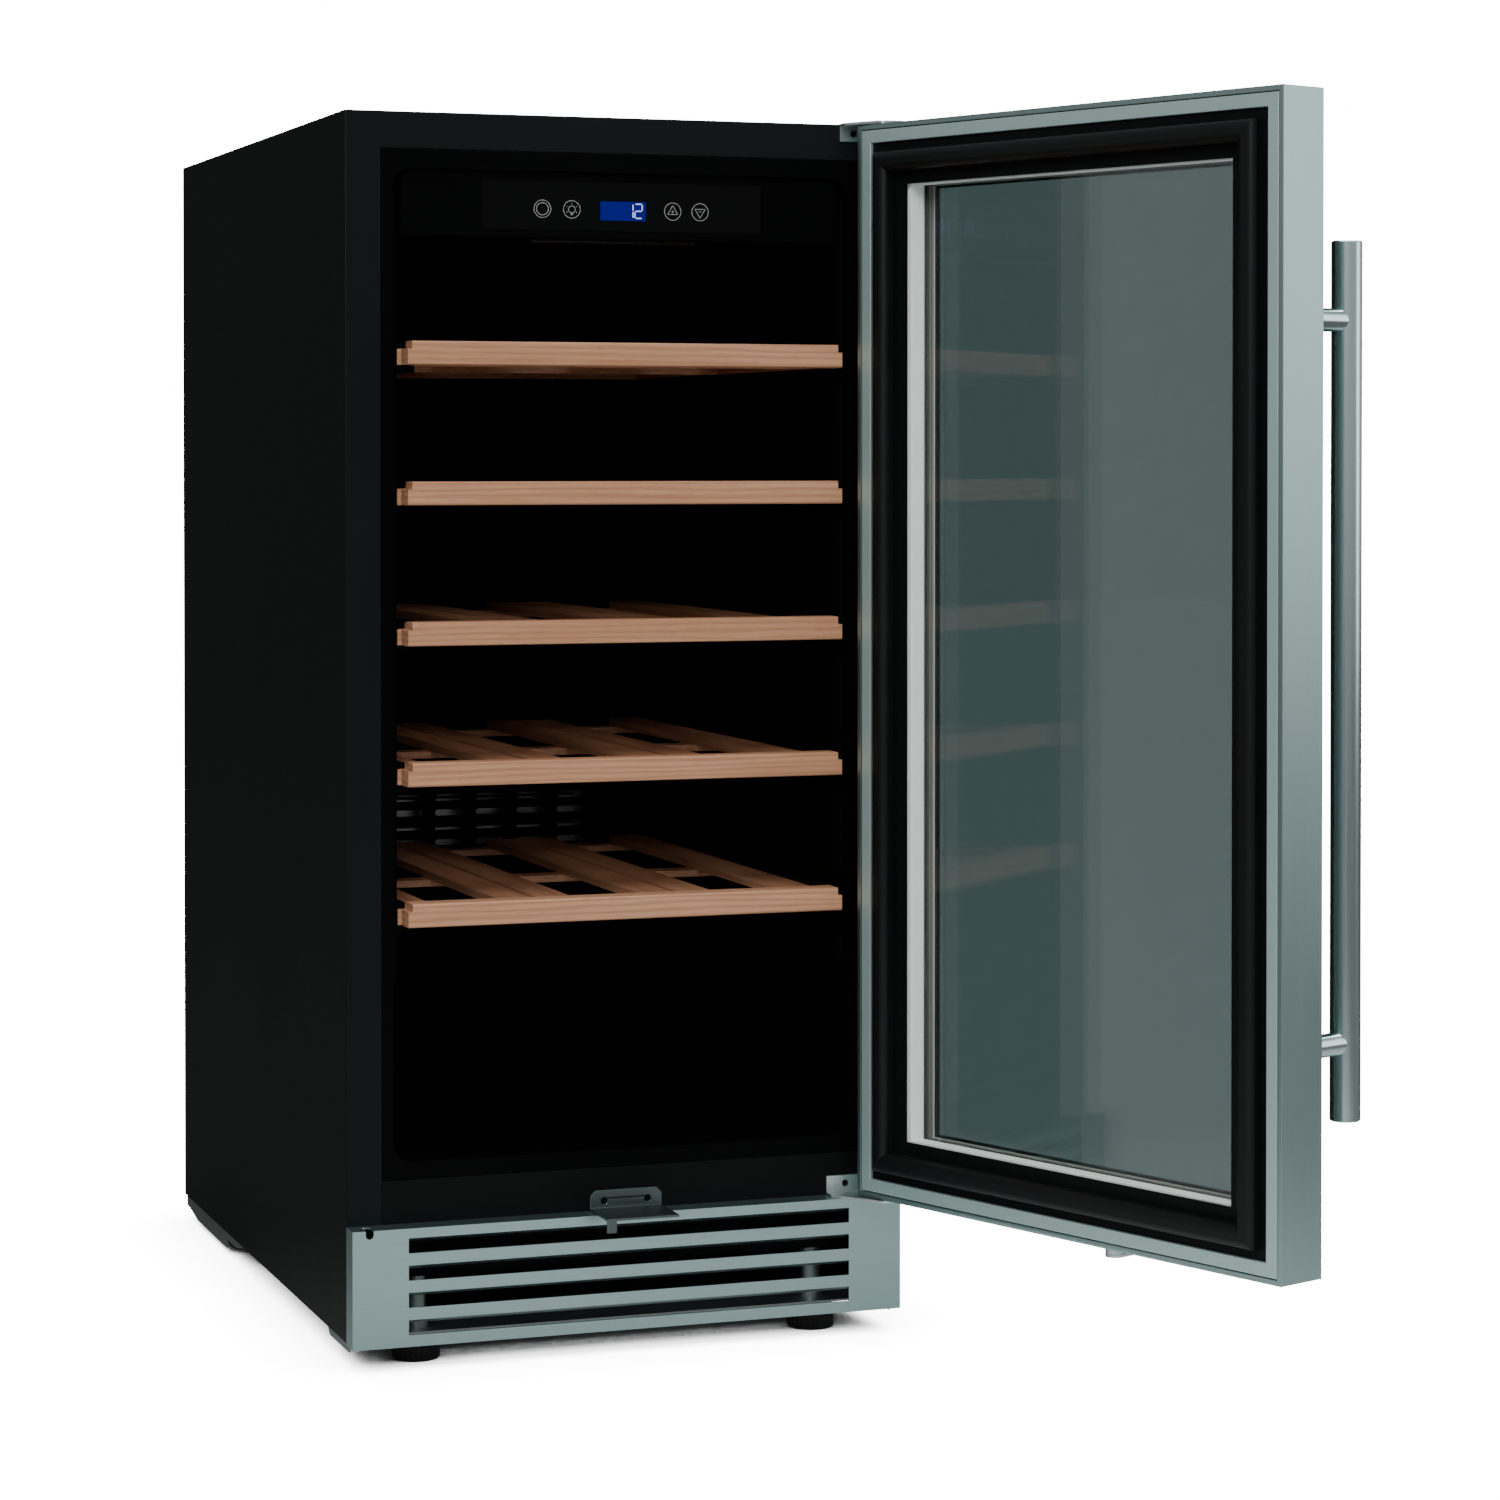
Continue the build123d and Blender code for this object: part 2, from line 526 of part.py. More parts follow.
COMPRESSOR_X, COMPRESSOR_Y = 25.0, 188.0
COMPRESSOR_FEET = [(COMPRESSOR_X + sx * 72, COMPRESSOR_Y + sy * 48) for sx in (-1, 1) for sy in (-1, 1)]
COMPRESSOR_R = 62.0
COMPRESSOR_WALL = 4.0
COMPRESSOR_BASE_Z = 35.0
COMPRESSOR_TOP_Z = 180.0
COMPRESSOR_DOME_R = 34.0
SEAM_Z = 96.0               # the welded seam between the shell's halves
FEET_BAR = 3.0
with BuildPart() as compressor:
    axis_plane = Plane(origin=(COMPRESSOR_X, COMPRESSOR_Y, 0), x_dir=(1, 0, 0), z_dir=(0, -1, 0))
    with BuildSketch(axis_plane) as shell_profile:
        with Locations((COMPRESSOR_R / 2, (COMPRESSOR_BASE_Z + COMPRESSOR_TOP_Z) / 2)):
            Rectangle(COMPRESSOR_R, COMPRESSOR_TOP_Z - COMPRESSOR_BASE_Z)
        outer = shell_profile.vertices().group_by(Axis.X)[-1].sort_by(Axis.Y)
        fillet(outer[-1], radius=COMPRESSOR_DOME_R)
        with Locations((COMPRESSOR_R / 2, SEAM_Z)):
            Rectangle(COMPRESSOR_R + 5, 6)
        split(bisect_by=Plane.YZ, keep=Keep.TOP)
    revolve(axis=Axis((COMPRESSOR_X, COMPRESSOR_Y, 0), (0, 0, 1)))
    with BuildSketch(axis_plane) as motor_space:
        with Locations(((COMPRESSOR_R - COMPRESSOR_WALL) / 2,
                        (COMPRESSOR_BASE_Z + COMPRESSOR_TOP_Z) / 2)):
            Rectangle(COMPRESSOR_R - COMPRESSOR_WALL,
                      COMPRESSOR_TOP_Z - COMPRESSOR_BASE_Z - 2 * COMPRESSOR_WALL)
        fillet(motor_space.vertices().group_by(Axis.X)[-1].sort_by(Axis.Y)[-1],
               radius=COMPRESSOR_DOME_R - COMPRESSOR_WALL)
    revolve(axis=Axis((COMPRESSOR_X, COMPRESSOR_Y, 0), (0, 0, 1)), mode=Mode.SUBTRACT)
    block(COMPRESSOR_X - 82, COMPRESSOR_X + 82, COMPRESSOR_Y - 56, COMPRESSOR_Y + 56,
          COMPRESSOR_BASE_Z - FEET_BAR, COMPRESSOR_BASE_Z)
    with Locations(*[(x, y, 33) for x, y in COMPRESSOR_FEET]):
        Cylinder(4.2, 12, mode=Mode.SUBTRACT)
save(compressor, "compressor")

with BuildPart() as drain_tray:
    block(COMPRESSOR_X - 60, COMPRESSOR_X + 60, COMPRESSOR_Y - 50, COMPRESSOR_Y + 50,
          COMPRESSOR_TOP_Z, COMPRESSOR_TOP_Z + 18)
    block(COMPRESSOR_X - 58, COMPRESSOR_X + 58, COMPRESSOR_Y - 48, COMPRESSOR_Y + 48,
          COMPRESSOR_TOP_Z + 2, COMPRESSOR_TOP_Z + 20, mode=Mode.SUBTRACT)
save(drain_tray, "drain_tray")

with BuildPart() as compressor_mounts:
    mount_low, mount_high = PAN_Z + PAN_SHEET, COMPRESSOR_BASE_Z - FEET_BAR
    for mount_x, mount_y in COMPRESSOR_FEET:
        rod((mount_x, mount_y, (mount_low + mount_high) / 2), 9, mount_high - mount_low, "Z")
        rod((mount_x, mount_y, mount_high + 5), 4, 10, "Z")
        rod((mount_x, mount_y, mount_high + 6.5), 8, 6.8, "Z")
save(compressor_mounts, "compressor_mounts")

with BuildPart() as power_board_box:
    block(118, 186, 112, 148, 60, 170)
    fillet(power_board_box.edges().filter_by(Axis.Z), radius=4)
save(power_board_box, "power_board_box")

DISCHARGE_Y = COMPRESSOR_Y + COMPRESSOR_R
SUCTION_Y = COMPRESSOR_Y - COMPRESSOR_R
DRYER_X, DRYER_Y, DRYER_Z = -115.0, 264.0, TUBE_ROW_Z
PIPE_Z = TUBE_ROW_Z + 2 * TUBE_PITCH
PIPES = (
    # tube radius, bend radius, corners of the route
    (3.0, 10, ((COMPRESSOR_X, DISCHARGE_Y, PIPE_Z), (COMPRESSOR_X, 266, PIPE_Z),
               (CONDENSER_X[1] - 5.9, 266, PIPE_Z))),
    (3.0, 10, ((COMPRESSOR_X, SUCTION_Y, PIPE_Z), (COMPRESSOR_X, 112, PIPE_Z),
               (COMPRESSOR_X, 112, MACHINE_TOP_Z - SHEET))),
    (1.5, 8, ((DRYER_X + 25, DRYER_Y, DRYER_Z), (DRYER_X + 45, DRYER_Y, DRYER_Z),
              (DRYER_X + 45, DRYER_Y, MACHINE_TOP_Z - SHEET))),
)
with BuildPart() as refrigerant_pipes:
    for radius, bend, corners in PIPES:
        with BuildLine() as route:
            FilletPolyline(*corners, radius=bend)
        with BuildSketch(Plane(origin=route.line @ 0, z_dir=route.line % 0)) as tube:
            Circle(radius)
        sweep(tube.sketch, path=route.line)
    # the dryer and its stub to the condenser
    rod((DRYER_X, DRYER_Y, DRYER_Z), 9, 50, "X")
    stub_end = CONDENSER_X[1] - 5.9
    rod(((stub_end + DRYER_X - 25) / 2, DRYER_Y, DRYER_Z), 3, DRYER_X - 25 - stub_end, "X")
save(refrigerant_pipes, "refrigerant_pipes")

with BuildPart() as machine_cover:
    block(-190, 190, BACK - 1.2, BACK, 24, MACHINE_TOP_Z - 1.2)
    with BuildSketch(Plane.XZ.offset(-BACK - 2)):
        for centre_x in (-110, 20):
            with Locations((centre_x, 125)):
                with GridLocations(34, 14, 3, 9):
                    SlotOverall(26, 5)
    extrude(amount=6, mode=Mode.SUBTRACT)
    block(112, 142, BACK - 5, BACK + 5, 110, 134, mode=Mode.SUBTRACT)
save(machine_cover, "machine_cover")

with BuildPart() as mains_inlet:
    block(112.2, 141.8, BACK - 22, BACK, 110.2, 133.8)
    block(106, 148, BACK, BACK + 2.4, 105, 139)
    with BuildSketch(Plane.XZ.offset(-BACK - 3)):
        with Locations((127, 122)):
            RectangleRounded(24, 16, 3)
    extrude(amount=18, mode=Mode.SUBTRACT)
    for pin_x in (-7, 0, 7):
        block(127 + pin_x - 1, 127 + pin_x + 1, BACK - 16, BACK, 119, 125)
save(mains_inlet, "mains_inlet")

# ==== hinges and lock bracket on the cabinet ==================================
BRACKET = 2.0
TOP_PLATE = (848.4, 850.4)
BOTTOM_PLATE = (96.6, 98.4)
BRACKETS = (
    # bent leg: left edge, right edge, bottom, top; screw height; the plate's levels and reach
    (158, 174, 838, TOP_PLATE[1], 843.4, TOP_PLATE, 40),
    (148, 172, BOTTOM_PLATE[0], 110, 104.3, BOTTOM_PLATE, 45),
)
with BuildPart() as hinge_brackets:
    for left, right, low, high, screw_z, (plate_low, plate_high), reach in BRACKETS:
        block(left, right, FRONT - BRACKET, FRONT, low, high)
        with BuildSketch(Plane.XY.offset(plate_low)) as plate:
            Polygon((left, FRONT), (196, FRONT), (196, FRONT - reach), (174, FRONT - reach),
                    (left, FRONT - 11), align=None)
            fillet(plate.vertices().group_by(Axis.Y)[0], radius=6)
        extrude(amount=plate_high - plate_low)
        rod(((left + right) / 2 + 2, FRONT, screw_z), 2.4, 12, "Y", mode=Mode.SUBTRACT)
        rod((HINGE_X, HINGE_Y, plate_low), PIN_R, 12, "Z", mode=Mode.SUBTRACT)
save(hinge_brackets, "hinge_brackets")

with BuildPart() as hinge_pins:
    with Locations((HINGE_X, HINGE_Y, (838 + TOP_PLATE[1]) / 2)):
        Cylinder(PIN_R, TOP_PLATE[1] - 838)
    with Locations((HINGE_X, HINGE_Y, (BOTTOM_PLATE[0] + 109) / 2)):
        Cylinder(PIN_R, 109 - BOTTOM_PLATE[0])
save(hinge_pins, "hinge_pins")

LOCK_BRACKET_HALF = 26.0
LOCK_REACH = 41.0
LOCK_TAB_WIDTH = 7.0        # the corner tab that the turned cam catches behind
with BuildPart() as lock_bracket:
    with BuildSketch(Plane.XZ.offset(-FRONT)) as leg:
        Polygon((-LOCK_BRACKET_HALF, 96.6), (LOCK_BRACKET_HALF, 96.6), (LOCK_BRACKET_HALF, 106.5),
                (LOCK_BRACKET_HALF - 4, 110.5), (4 - LOCK_BRACKET_HALF, 110.5),
                (-LOCK_BRACKET_HALF, 106.5), align=None)
        with Locations((-15.7, 103), (15.7, 103)):
            Circle(2.4, mode=Mode.SUBTRACT)
    extrude(amount=1.6)
    block(-LOCK_BRACKET_HALF, LOCK_BRACKET_HALF, FRONT - LOCK_REACH, FRONT, 96.6, 98.2)
    block(-LOCK_BRACKET_HALF, LOCK_TAB_WIDTH - LOCK_BRACKET_HALF,
          FRONT - LOCK_REACH, FRONT - LOCK_REACH + 1.6, 88.5, 98.2)
save(lock_bracket, "lock_bracket")

# ==== shelves =================================================================
SLATS = ((25.5, 49.5), (54.5, 78.5), (129.5, 145.5))
BAR_YS = (FRONT + 22, FRONT + 230, SHELF_BACK - 20)
for index in range(SHELF_COUNT):
    top = shelf_top(index)
    slat_high = top - SLAT_TOP
    slat_low = slat_high - SLAT_THICK
    strip_front = FRONT - STRIP_PROUD
    strip_back = strip_front + STRIP_DEPTH
    with BuildPart() as shelf_front:
        block(-STRIP_HALF, STRIP_HALF, strip_front, strip_back, top - STRIP_HEIGHT, top)
        for side in (-1, 1):
            notch = sorted((side * (STRIP_HALF - NOTCH_WIDTH), side * (STRIP_HALF + 1)))
            block(*notch, strip_front - 1, strip_back + 1, top - NOTCH_HEIGHT, top + 1,
                  mode=Mode.SUBTRACT)
        face_edges = shelf_front.faces().sort_by(Axis.Y)[0].edges().filter_by(Axis.X)
        fillet([e for e in face_edges if e.length > 100], radius=1.2)
    save(shelf_front, f"shelf_{index + 1}_front")

    with BuildPart() as shelf_slats:
        for side in (-1, 1):
            for near, far in SLATS:
                block(*sorted((side * near, side * far)), strip_back, SHELF_BACK,
                      slat_low, slat_high)
        for side in (-1, 1):
            block(*sorted((side * RUNNER[0], side * RUNNER[1])), strip_back + 2.5, SHELF_BACK,
                  top - STRIP_HEIGHT, slat_high)
            block(*sorted((side * RUNNER[0], side * (STRIP_HALF - 1))), strip_back,
                  strip_back + 2.5, top - STRIP_HEIGHT, slat_high)
        for bar_y in BAR_YS:
            block(-RUNNER[0], RUNNER[0], bar_y, bar_y + 20, top - STRIP_HEIGHT, slat_low)
    save(shelf_slats, f"shelf_{index + 1}_slats")

# ==== door ====================================================================
LIP = 3.7
FLANGE_START = 4.2
FLANGE_END = 13.2
FLANGE_DEPTH = 9.4
CORE_INNER = 29.5
CORE_START = 9.6
GLASS_INSET = 30.0
SIGHT_LINE = 46.0           # edge of the visible glass, from the door's edge
EASE = 3.0                  # the glass reaches this much further at top and bottom
PANE_INNER = (5.2, 9.2)
PANE_MIDDLE = (22.0, 26.0)
PANE_OUTER = (33.0, DOOR_THICK - DOOR_SHEET - 0.1)
BUSH_R = 6.0
LOCK_Y = depth_y(LOCK_DEPTH)
HANDLE_X = -HALF + HANDLE_INSET
HANDLE_Y = depth_y(DOOR_THICK + HANDLE_STANDOFF)
SCREW_R = 2.5

with BuildPart() as door_frame:
    door_ring(0, DOOR_SHEET, 0, DOOR_THICK)
    door_ring(DOOR_SHEET, FACE_WIDTH, DOOR_THICK - DOOR_SHEET, DOOR_THICK, EASE)
    door_ring(DOOR_SHEET, LIP, 0, DOOR_SHEET)
    rod((HINGE_X, HINGE_Y, DOOR_MID_Z), BUSH_R, DOOR_HEIGHT + 10, "Z", mode=Mode.SUBTRACT)
    rod((LOCK_X, LOCK_Y, DOOR_BOTTOM_Z), BARREL_R, 10, "Z", mode=Mode.SUBTRACT)
    for post_z in POST_ZS:
        rod((HANDLE_X, depth_y(DOOR_THICK), post_z), SCREW_R, 10, "Y", mode=Mode.SUBTRACT)
save(door_frame, "door_frame", opened=True)

with BuildPart() as door_inner_frame:
    door_ring(FLANGE_START, FLANGE_END, 0.2, FLANGE_DEPTH)
    fillet(door_inner_frame.faces().sort_by(Axis.Y)[-1].edges(), radius=0.6)
save(door_inner_frame, "door_inner_frame", opened=True)

with BuildPart() as door_core:
    door_ring(DOOR_SHEET + 0.1, CORE_INNER, CORE_START, DOOR_THICK - DOOR_SHEET - 0.1)
    door_ring(FLANGE_END + 0.2, CORE_INNER, 5.2, CORE_START)
    rod((HINGE_X, HINGE_Y, DOOR_MID_Z), BUSH_R, DOOR_HEIGHT + 10, "Z", mode=Mode.SUBTRACT)
    rod((LOCK_X, LOCK_Y, DOOR_BOTTOM_Z + 12), BARREL_R, 24, "Z", mode=Mode.SUBTRACT)
    for post_z in POST_ZS:
        rod((HANDLE_X, depth_y(28), post_z), SCREW_R, 24, "Y", mode=Mode.SUBTRACT)
        rod((HANDLE_X, depth_y(12), post_z), 5.0, 16, "Y", mode=Mode.SUBTRACT)
save(door_core, "door_core", opened=True)

with BuildPart() as door_liner:
    door_ring(FLANGE_END + 0.2, 34, 2.5, 5.1)
    door_ring(34, SIGHT_LINE, 4.2, 5.1, EASE)
save(door_liner, "door_liner", opened=True)

with BuildPart() as door_gasket:
    door_ring(20, 34, -6.9, 2.5)
    fillet(door_gasket.faces().sort_by(Axis.Y)[-1].edges(), radius=5.0)
save(door_gasket, "door_gasket", opened=True)

with BuildPart() as glass_inner_panes:
    door_panel(GLASS_INSET, *PANE_INNER)
    door_panel(GLASS_INSET, *PANE_MIDDLE)
save(glass_inner_panes, "glass_inner_panes", opened=True)

with BuildPart() as glass_outer_pane:
    door_panel(GLASS_INSET, *PANE_OUTER)
save(glass_outer_pane, "glass_outer_pane", opened=True)

with BuildPart() as glass_spacers:
    door_ring(SIGHT_LINE - 10, SIGHT_LINE + 0.4, PANE_INNER[1], PANE_MIDDLE[0], EASE)
    door_ring(SIGHT_LINE - 10, SIGHT_LINE + 0.4, PANE_MIDDLE[1], PANE_OUTER[0], EASE)
save(glass_spacers, "glass_spacers", opened=True)

with BuildPart() as handle_bar:
    with Locations((HANDLE_X, HANDLE_Y, (HANDLE_BOTTOM_Z + HANDLE_TOP_Z) / 2)):
        Cylinder(HANDLE_R, HANDLE_TOP_Z - HANDLE_BOTTOM_Z)
    chamfer(handle_bar.edges().filter_by(GeomType.CIRCLE), length=0.8)
save(handle_bar, "handle_bar", opened=True)

with BuildPart() as handle_posts:
    for post_z in POST_ZS:
        rod((HANDLE_X, depth_y(DOOR_THICK + HANDLE_STANDOFF / 2), post_z), POST_R,
            HANDLE_STANDOFF, "Y")
        rod((HANDLE_X, depth_y(DOOR_THICK + 9.9), post_z), SCREW_R, 20, "Y", mode=Mode.SUBTRACT)
    with Locations((HANDLE_X, HANDLE_Y, (HANDLE_BOTTOM_Z + HANDLE_TOP_Z) / 2)):
        Cylinder(HANDLE_R, HANDLE_TOP_Z - HANDLE_BOTTOM_Z, mode=Mode.SUBTRACT)
save(handle_posts, "handle_posts", opened=True)

with BuildPart() as handle_screws:
    for post_z in POST_ZS:
        rod((HANDLE_X, depth_y(38), post_z), SCREW_R, 36, "Y")
        rod((HANDLE_X, depth_y(18), post_z), 4.8, 4, "Y")
save(handle_screws, "handle_screws", opened=True)

with BuildPart() as hinge_bushes:
    for low, high in ((DOOR_BOTTOM_Z, DOOR_BOTTOM_Z + 12), (DOOR_TOP_Z - 12, DOOR_TOP_Z)):
        rod((HINGE_X, HINGE_Y, (low + high) / 2), BUSH_R, high - low, "Z")
        rod((HINGE_X, HINGE_Y, (low + high) / 2), PIN_R + PIN_CLEARANCE, high - low + 2, "Z",
            mode=Mode.SUBTRACT)
save(hinge_bushes, "hinge_bushes", opened=True)

with BuildPart() as lock_barrel:
    barrel_top = DOOR_BOTTOM_Z + 23
    rod((LOCK_X, LOCK_Y, (BARREL_BOTTOM_Z + barrel_top) / 2), BARREL_R,
        barrel_top - BARREL_BOTTOM_Z, "Z")
    rod((LOCK_X, LOCK_Y, BARREL_BOTTOM_Z), PLUG_R + PIN_CLEARANCE, 44, "Z", mode=Mode.SUBTRACT)
save(lock_barrel, "lock_barrel", opened=True)

# At rest the cam points to the front; a quarter turn sets it behind the bracket's tab.
with BuildPart() as lock_cam:
    cam_top = BARREL_BOTTOM_Z - 0.3
    with BuildSketch(Plane.XY.offset(cam_top - CAM_THICK)) as cam_outline:
        with Locations((LOCK_X, LOCK_Y)):
            Circle(CAM_WIDTH / 2)
        with Locations((LOCK_X, LOCK_Y - CAM_REACH / 2)):
            Rectangle(CAM_WIDTH, CAM_REACH)
    extrude(amount=CAM_THICK)
    fillet(lock_cam.edges().filter_by(Axis.Z).group_by(Axis.Y)[0], radius=1.5)
    rod((LOCK_X, LOCK_Y, cam_top + 9), PLUG_R, 18, "Z")
    block(LOCK_X - 0.8, LOCK_X + 0.8, LOCK_Y - 3.5, LOCK_Y + 3.5,
          cam_top - CAM_THICK - 1, cam_top + 4, mode=Mode.SUBTRACT)
save(lock_cam, "lock_cam", opened=True)
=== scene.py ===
"""Studio scene of a narrow wine cooler with its glass door standing open.

Metres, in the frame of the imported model: +Z up, the cabinet's front faces -Y, the origin on the
floor.
"""

import json
import math

import bmesh
import bpy
from mathutils import Matrix, Vector


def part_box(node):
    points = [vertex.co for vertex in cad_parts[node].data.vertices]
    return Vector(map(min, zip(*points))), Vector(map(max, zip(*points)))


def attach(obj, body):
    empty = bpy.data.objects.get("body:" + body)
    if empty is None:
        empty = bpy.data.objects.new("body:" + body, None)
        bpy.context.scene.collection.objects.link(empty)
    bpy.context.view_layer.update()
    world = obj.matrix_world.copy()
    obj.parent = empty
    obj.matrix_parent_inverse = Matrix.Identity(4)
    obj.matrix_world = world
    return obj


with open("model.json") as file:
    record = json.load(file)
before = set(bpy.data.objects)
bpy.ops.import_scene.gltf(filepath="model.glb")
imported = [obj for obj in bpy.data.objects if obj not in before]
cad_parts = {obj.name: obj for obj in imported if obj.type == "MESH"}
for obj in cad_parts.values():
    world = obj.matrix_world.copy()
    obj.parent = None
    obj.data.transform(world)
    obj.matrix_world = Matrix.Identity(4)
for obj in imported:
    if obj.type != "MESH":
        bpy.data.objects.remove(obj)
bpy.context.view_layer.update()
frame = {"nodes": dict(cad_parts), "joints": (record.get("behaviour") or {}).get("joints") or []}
NODES = frame["nodes"]

# ---- the door's own axes ------------------------------------------------------------
OPEN_ANGLE = math.radians(110.88)
DOOR_JOINT = next(j for j in frame["joints"] if j["name"] == "door_hinge")
HINGE = Vector((DOOR_JOINT["pos_m"][0], DOOR_JOINT["pos_m"][1], 0))
OPENED = (Matrix.Translation(HINGE) @ Matrix.Rotation(OPEN_ANGLE, 4, "Z")
          @ Matrix.Translation(-HINGE))
CLOSED_AXES = OPENED.inverted()


def closed_box(node):
    """Lowest and highest corner of a door node, turned back into the closed door's axes."""
    points = [CLOSED_AXES @ vertex.co for vertex in NODES[node].data.vertices]
    return [Vector(pick(point[axis] for point in points) for axis in range(3))
            for pick in (min, max)]


# ---- shader helpers ----------------------------------------------------------------
MIX_INPUTS = (0, 6, 7)      # a Mix node's factor and its two colours
MIX_OUTPUT = 2


def feed(tree, value, socket):
    """Give a socket its value: a link from another node, or a constant."""
    if isinstance(value, bpy.types.NodeSocket):
        tree.links.new(value, socket)
    else:
        socket.default_value = value


def calculate(tree, operation, *values):
    """Result of a Math node."""
    made = tree.nodes.new("ShaderNodeMath")
    made.operation = operation
    for value, socket in zip(values, made.inputs):
        feed(tree, value, socket)
    return made.outputs[0]


class Shader:
    """One node material, with short calls for the nodes that the finishes share."""

    def __init__(self, name, colour=(0.5, 0.5, 0.5), roughness=0.5, **values):
        self.material = bpy.data.materials.new(name)
        self.material.use_nodes = True
        self.tree = self.material.node_tree
        self.bsdf = self.tree.nodes["Principled BSDF"]
        self.set("Base Color", (*colour, 1.0))
        self.set("Roughness", roughness)
        for key, value in values.items():
            self.set(key.replace("_", " "), value)
        self.coordinates = self.node("ShaderNodeTexCoord").outputs["Object"]

    def set(self, socket, value):
        self.bsdf.inputs[socket].default_value = value

    def node(self, kind, **inputs):
        made = self.tree.nodes.new(kind)
        for key, value in inputs.items():
            feed(self.tree, value, made.inputs[key.replace("_", " ")])
        return made

    def link(self, output, socket):
        self.tree.links.new(output, self.bsdf.inputs[socket])

    def place(self, scale=(1, 1, 1), rotation=(0, 0, 0), vector=None):
        """Object coordinates, stretched and turned."""
        mapping = self.node("ShaderNodeMapping", Vector=vector or self.coordinates)
        mapping.inputs["Scale"].default_value = scale
        mapping.inputs["Rotation"].default_value = rotation
        return mapping.outputs["Vector"]

    def noise(self, vector, scale, detail=3.0, roughness=0.5, distortion=0.0):
        made = self.node("ShaderNodeTexNoise", Vector=vector, Scale=scale, Detail=detail,
                         Roughness=roughness, Distortion=distortion)
        return made.outputs["Fac"]

    def ramp(self, value, stops):
        made = self.node("ShaderNodeValToRGB", Fac=value)
        ramp = made.color_ramp
        while len(ramp.elements) < len(stops):
            ramp.elements.new(0.5)
        for element, (place, colour) in zip(ramp.elements, stops):
            element.position = place
            element.color = (*colour, 1.0)
        return made.outputs["Color"]

    def spread(self, value, low, high, from_low=0.3, from_high=0.7):
        made = self.node("ShaderNodeMapRange", Value=value, From_Min=from_low, From_Max=from_high,
                         To_Min=low, To_Max=high)
        return made.outputs["Result"]

    def mix(self, factor, first, second):
        made = self.tree.nodes.new("ShaderNodeMix")
        made.data_type = "RGBA"
        for index, value in zip(MIX_INPUTS, (factor, first, second)):
            feed(self.tree, value, made.inputs[index])
        return made.outputs[MIX_OUTPUT]

    def add(self, first, second):
        return calculate(self.tree, "ADD", first, second)

    def bump(self, height, distance, strength=1.0):
        made = self.node("ShaderNodeBump", Height=height, Strength=strength, Distance=distance)
        self.link(made.outputs["Normal"], "Normal")


def brushed(name, colour, roughness, stretch, turn=0.0, metallic=1.0, streak=0.05, relief=0.000006):
    """Brushed metal: streaks along the axis whose stretch is small, over slow changes in gloss."""
    shader = Shader(name, colour, roughness, Metallic=metallic)
    placed = shader.place(rotation=(0, 0, turn))
    lines = shader.noise(shader.place(stretch, vector=placed), 1.0, 6.0, 0.6)
    cloud = shader.noise(shader.coordinates, 5.0, 2.0)
    light = tuple(c * (1 + streak) for c in colour)
    dark = tuple(c * (1 - streak) for c in colour)
    shader.link(shader.ramp(lines, ((0.3, dark), (0.7, light))), "Base Color")
    shader.link(shader.add(shader.spread(lines, roughness - 0.5 * streak, roughness + streak),
                           shader.spread(cloud, -0.015, 0.02)), "Roughness")
    shader.bump(lines, relief, 0.5)
    return shader.material


def grained(name, colour, roughness, scale, depth, variation=0.12, gloss=0.08):
    """Moulded or painted surface: a fine grain in relief, a little unevenness in tone and gloss."""
    shader = Shader(name, colour, roughness)
    shader.set("Specular IOR Level", gloss)
    grain = shader.noise(shader.coordinates, scale, 4.0, 0.55)
    cloud = shader.noise(shader.coordinates, 5.0, 2.0)
    light = tuple(c * (1 + variation) for c in colour)
    dark = tuple(c * (1 - variation) for c in colour)
    shader.link(shader.ramp(cloud, ((0.3, dark), (0.7, light))), "Base Color")
    shader.link(shader.add(shader.spread(cloud, roughness - 0.02, roughness + 0.03),
                           shader.spread(grain, -0.04, 0.05)), "Roughness")
    shader.bump(grain, depth, 0.8)
    return shader.material


def beech(name, along, seed):
    """Steamed beech: long growth bands, fine pores and short dark flecks along the grain's axis."""
    shader = Shader(name, (0.54, 0.28, 0.155), 0.5)
    shader.set("Specular IOR Level", 0.3)
    shifted = shader.node("ShaderNodeMapping", Vector=shader.coordinates)
    shifted.inputs["Location"].default_value = (seed * 0.37, seed * 0.11, seed * 0.73)

    def along_grain(lengthwise, across):
        stretch = {"X": (lengthwise, across, across), "Y": (across, lengthwise, across)}[along]
        return shader.place(stretch, vector=shifted.outputs["Vector"])

    drift = shader.noise(along_grain(1.8, 20), 2.0, 3.0, 0.5, 0.8)
    rings = shader.node("ShaderNodeTexWave", Vector=along_grain(2.2, 34), Scale=2.0, Distortion=7.0,
                        Detail=3.0, Detail_Scale=1.1)
    rings.bands_direction = "Z"
    pores = shader.noise(along_grain(26, 950), 1.0, 4.0, 0.65)
    flecks = shader.noise(along_grain(90, 1100), 1.0, 2.0)
    tone = shader.ramp(drift, ((0.25, (0.47, 0.225, 0.118)), (0.55, (0.59, 0.305, 0.172)),
                               (0.8, (0.66, 0.365, 0.218))))
    tone = shader.mix(shader.spread(rings.outputs["Fac"], 0.0, 0.55, 0.25, 1.0), tone,
                      (0.37, 0.160, 0.078, 1.0))
    tone = shader.mix(shader.spread(pores, 0.0, 0.40, 0.45, 0.75), tone, (0.70, 0.42, 0.27, 1.0))
    tone = shader.mix(shader.spread(flecks, 0.0, 0.60, 0.62, 0.75), tone, (0.26, 0.115, 0.058, 1.0))
    shader.link(tone, "Base Color")
    shader.link(shader.spread(pores, 0.42, 0.58), "Roughness")
    shader.bump(pores, 0.00005, 0.5)
    return shader.material


